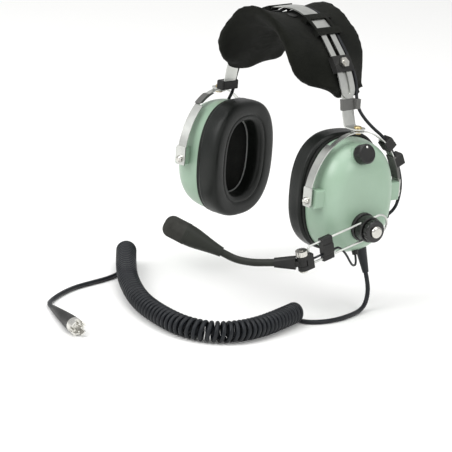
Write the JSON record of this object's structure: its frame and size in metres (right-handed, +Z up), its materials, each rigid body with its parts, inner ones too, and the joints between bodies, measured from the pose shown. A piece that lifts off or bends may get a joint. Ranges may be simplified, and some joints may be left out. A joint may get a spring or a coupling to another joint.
{
  "type": "headset",
  "caption": "Sprung-band headset with oval ear cups, steel wire stirrups, boom microphone and coiled cord with plug.",
  "frame": {"origin": "midway between the two ear cups at the level of the cups' tilt pins", "axes": "+Z up, -Y the way the wearer faces, +X towards the wearer's left"},
  "size_m": [0.2649, 0.3223, 0.2689],
  "materials": {
    "dome_green": "satin moulded plastic, pale sage green",
    "baffle_black": "black moulded plastic",
    "seal_vinyl": "black soft vinyl",
    "foam": "dark open foam under cloth",
    "driver_plastic": "black driver frame",
    "knob_black": "black plastic",
    "hub_black": "black lacquered metal",
    "steel_satin": "satin stainless steel",
    "nickel": "nickel plate",
    "brass": "aged brass",
    "black_plastic": "black moulded plastic",
    "grey_sleeve": "dark grey rubber",
    "mic_plastic": "charcoal matte plastic",
    "mic_foam": "charcoal foam",
    "pad_fabric": "black cloth over foam",
    "cord_pvc": "blue-black cord jacket",
    "plug_metal": "bright nickel barrel"
  },
  "bodies": {
    "stirrup_left": {"stirrup_left": "steel_satin", "leg_sleeve_left": "grey_sleeve", "cable_clips": "black_plastic", "pivot_pins_left": "nickel", "cross_cable_left": "cord_pvc", "cord_lead": "cord_pvc", "cord_coil": "cord_pvc", "cord_tail": "cord_pvc", "plug_boot": "black_plastic", "plug_shell": "plug_metal", "plug_pins": "nickel"},
    "cup_left": {"dome_left": "dome_green", "baffle_left": "baffle_black", "ear_seal_left": "seal_vinyl", "ear_foam_left": "foam", "driver_left": "driver_plastic", "volume_pot": "nickel", "hub_plate": "hub_black", "hub_screw": "nickel", "cable_glands": "black_plastic", "strain_relief": "cord_pvc"},
    "volume_knob": {"volume_knob": "knob_black"},
    "thumb_nut": {"thumb_nut": "hub_black"},
    "hub_carrier": {"hub_carrier": "hub_black"},
    "mic_nut": {"mic_nut": "nickel"},
    "clamp_bolt_left": {"clamp_bolt_left": "nickel"},
    "clamp_bolt_right": {"clamp_bolt_right": "nickel"},
    "boom": {"boom_wires": "steel_satin", "boom_keeper": "black_plastic", "boom_end_block": "black_plastic", "mic_screw": "nickel", "mic_lead": "cord_pvc"},
    "mic_arm": {"mic_bracket": "black_plastic", "flex_tube": "mic_plastic", "mic_body": "mic_plastic", "mic_collar": "mic_plastic", "mic_cap": "mic_foam", "mic_capsule": "nickel"},
    "strap_left": {"strap_left": "steel_satin", "clamp_block_left": "black_plastic", "strap_sleeve_left": "grey_sleeve", "foot_rivet_left": "brass"},
    "headband": {"head_spring": "steel_satin", "head_pad": "pad_fabric", "pad_loops": "pad_fabric", "pad_snaps": "nickel", "cross_cable_band": "cord_pvc"},
    "strap_right": {"strap_right": "steel_satin", "clamp_block_right": "black_plastic", "foot_block_right": "black_plastic", "foot_rivet_right": "brass", "cross_cable_right": "cord_pvc"},
    "stirrup_right": {"stirrup_right": "steel_satin", "pivot_pins_right": "nickel", "shoulder_sleeve_right": "grey_sleeve"},
    "cup_right": {"dome_right": "dome_green", "baffle_right": "baffle_black", "ear_seal_right": "seal_vinyl", "ear_foam_right": "foam", "driver_right": "driver_plastic"}
  },
  "joints": [
    {"name": "cup_tilt_left", "type": "hinge", "parent": "stirrup_left", "child": "cup_left", "pos_m": [0.089, 0, 0.001], "axis": [0.1392, 0.9903, 0], "range_deg": [-12, 12], "deforming": ["cord_lead", "cross_cable_left"]},
    {"name": "volume_turn", "type": "hinge", "parent": "cup_left", "child": "volume_knob", "pos_m": [0.10295, -0.00852, 0.0426], "axis": [0.9305, -0.1308, 0.342], "range_deg": [-135, 135]},
    {"name": "boom_swing", "type": "hinge", "parent": "cup_left", "child": "hub_carrier", "pos_m": [0.11659, -0.00489, -0.0223], "axis": [0.9903, -0.1392, 0], "range_deg": [-50, 6], "deforming": ["mic_lead"]},
    {"name": "thumb_nut_turn", "type": "hinge", "parent": "cup_left", "child": "thumb_nut", "pos_m": [0.11659, -0.00489, -0.0223], "axis": [0.9903, -0.1392, 0], "range_deg": [-90, 90]},
    {"name": "boom_slide", "type": "slide", "parent": "hub_carrier", "child": "boom", "axis": [-0.1342, -0.9547, -0.2656], "range_m": [-0.018, 0.004]},
    {"name": "mic_pivot", "type": "hinge", "parent": "boom", "child": "mic_arm", "pos_m": [0.10709, -0.07608, -0.04208], "axis": [-0.037, -0.263, 0.9641], "range_deg": [-12, 50]},
    {"name": "mic_nut_turn", "type": "hinge", "parent": "boom", "child": "mic_nut", "pos_m": [0.10709, -0.07608, -0.04208], "axis": [-0.037, -0.263, 0.9641], "range_deg": [-90, 90]},
    {"name": "stirrup_swivel_left", "type": "hinge", "parent": "stirrup_left", "child": "strap_left", "pos_m": [0.089, 0, 0.062], "axis": [0, 0, 1], "range_deg": [-15, 15]},
    {"name": "clamp_bolt_left_turn", "type": "hinge", "parent": "strap_left", "child": "clamp_bolt_left", "pos_m": [0.06228, 0, 0.11537], "axis": [0.8211, 0, 0.5707], "range_deg": [-90, 90]},
    {"name": "size_left", "type": "hinge", "parent": "strap_left", "child": "headband", "pos_m": [-0.003, 0, 0.07], "axis": [0, -1, 0], "range_deg": [0, 10], "deforming": ["cross_cable_band"]},
    {"name": "size_right", "type": "hinge", "parent": "headband", "child": "strap_right", "pos_m": [0.003, 0, 0.07], "axis": [0, -1, 0], "range_deg": [0, 10], "deforming": ["cross_cable_right"]},
    {"name": "clamp_bolt_right_turn", "type": "hinge", "parent": "strap_right", "child": "clamp_bolt_right", "pos_m": [-0.06228, 0, 0.11537], "axis": [-0.8211, 0, 0.5707], "range_deg": [-90, 90]},
    {"name": "stirrup_swivel_right", "type": "hinge", "parent": "strap_right", "child": "stirrup_right", "pos_m": [-0.089, 0, 0.062], "axis": [0, 0, 1], "range_deg": [-15, 15]},
    {"name": "cup_tilt_right", "type": "hinge", "parent": "stirrup_right", "child": "cup_right", "pos_m": [-0.089, 0, 0.001], "axis": [-0.1392, 0.9903, 0], "range_deg": [-12, 12]}
  ]
}
